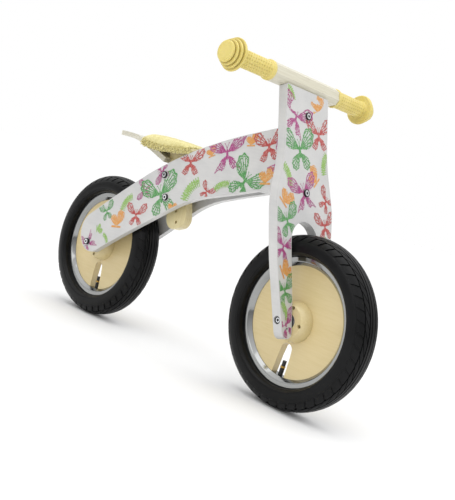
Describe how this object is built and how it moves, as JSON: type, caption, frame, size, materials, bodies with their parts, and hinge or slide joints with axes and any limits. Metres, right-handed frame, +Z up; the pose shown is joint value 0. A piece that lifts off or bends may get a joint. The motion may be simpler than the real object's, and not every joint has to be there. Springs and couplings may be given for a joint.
{
  "type": "balance bike",
  "caption": "Child's plywood balance bike: bent side boards, hinged fork board, wooden disc wheels with air tyres, padded seat and handlebar with guarded grips.",
  "frame": {"origin": "bottom centre of the bounding box: on the ground, midway between the axles", "axes": "+X forward, +Y to the rider's left, +Z up; steering straight ahead"},
  "size_m": [0.8689, 0.416, 0.5889],
  "materials": {
    "silver_laminate_ply": "satin silver-grey laminate with a butterfly print",
    "birch_ply": "satin clear varnish",
    "beech": "plain",
    "nylon_black": "moulded",
    "zinc_steel": "zinc plated",
    "chrome_steel": "bright",
    "bearing_steel": "ground",
    "yellow_fabric": "woven cover, slightly padded",
    "white_painted_wood": "satin cream-white lacquer",
    "cream_rubber": "soft, dimpled",
    "black_steel": "black oxide",
    "tyre_rubber": "moulded tread",
    "tube_rubber": "plain",
    "polished_rim": "polished",
    "valve_rubber": "plain",
    "black_plastic": "moulded"
  },
  "bodies": {
    "frame": {"side_panel_right": "silver_laminate_ply", "side_panel_left": "silver_laminate_ply", "head_block": "birch_ply", "head_dowels": "beech", "head_bushes": "nylon_black", "seat_post": "birch_ply", "seat_post_spacers": "nylon_black", "seat_post_bolts": "zinc_steel", "seat_post_caps": "chrome_steel", "seat_base": "birch_ply", "seat_cushion": "yellow_fabric", "seat_tail": "birch_ply", "seat_screws": "zinc_steel", "seat_staples": "zinc_steel", "rear_axle": "zinc_steel", "rear_axle_bolts": "chrome_steel", "rear_axle_washers": "zinc_steel", "rear_axle_spacers": "zinc_steel", "rear_bearing_inners": "bearing_steel"},
    "fork": {"fork_panel": "silver_laminate_ply", "handlebar": "white_painted_wood", "bar_screws": "zinc_steel", "bar_dowels": "beech", "grip_right": "cream_rubber", "grip_left": "cream_rubber", "steering_pin": "zinc_steel", "steering_nut": "zinc_steel", "steering_spacers": "nylon_black", "eye_bolts": "zinc_steel", "eye_nuts": "zinc_steel", "eye_washers": "zinc_steel", "fork_cap_nuts": "chrome_steel", "front_axle": "zinc_steel", "front_axle_bolts": "chrome_steel", "front_axle_washers": "zinc_steel", "front_axle_spacers": "zinc_steel", "front_bearing_inners": "bearing_steel", "leg_grub_screws": "black_steel"},
    "front_wheel": {"front_tyre": "tyre_rubber", "front_inner_tube": "tube_rubber", "front_rim": "polished_rim", "front_disc": "birch_ply", "front_hub_bosses": "birch_ply", "front_hub_screws": "black_steel", "front_rim_screws": "zinc_steel", "front_bearing_outers": "bearing_steel", "front_valve": "valve_rubber", "front_valve_cap": "black_plastic"},
    "rear_wheel": {"rear_tyre": "tyre_rubber", "rear_inner_tube": "tube_rubber", "rear_rim": "polished_rim", "rear_disc": "birch_ply", "rear_hub_bosses": "birch_ply", "rear_hub_screws": "black_steel", "rear_rim_screws": "zinc_steel", "rear_bearing_outers": "bearing_steel", "rear_valve": "valve_rubber", "rear_valve_cap": "black_plastic"}
  },
  "joints": [
    {"name": "steering", "type": "hinge", "parent": "frame", "child": "fork", "pos_m": [0.1617, 0, 0.42244], "axis": [-0.309, 0, 0.9511], "range_deg": [-35, 35]},
    {"name": "front_wheel_spin", "type": "hinge", "parent": "fork", "child": "front_wheel", "pos_m": [0.282, 0, 0.1525], "axis": [0, 1, 0], "continuous": true},
    {"name": "rear_wheel_spin", "type": "hinge", "parent": "frame", "child": "rear_wheel", "pos_m": [-0.282, 0, 0.1525], "axis": [0, 1, 0], "continuous": true}
  ]
}
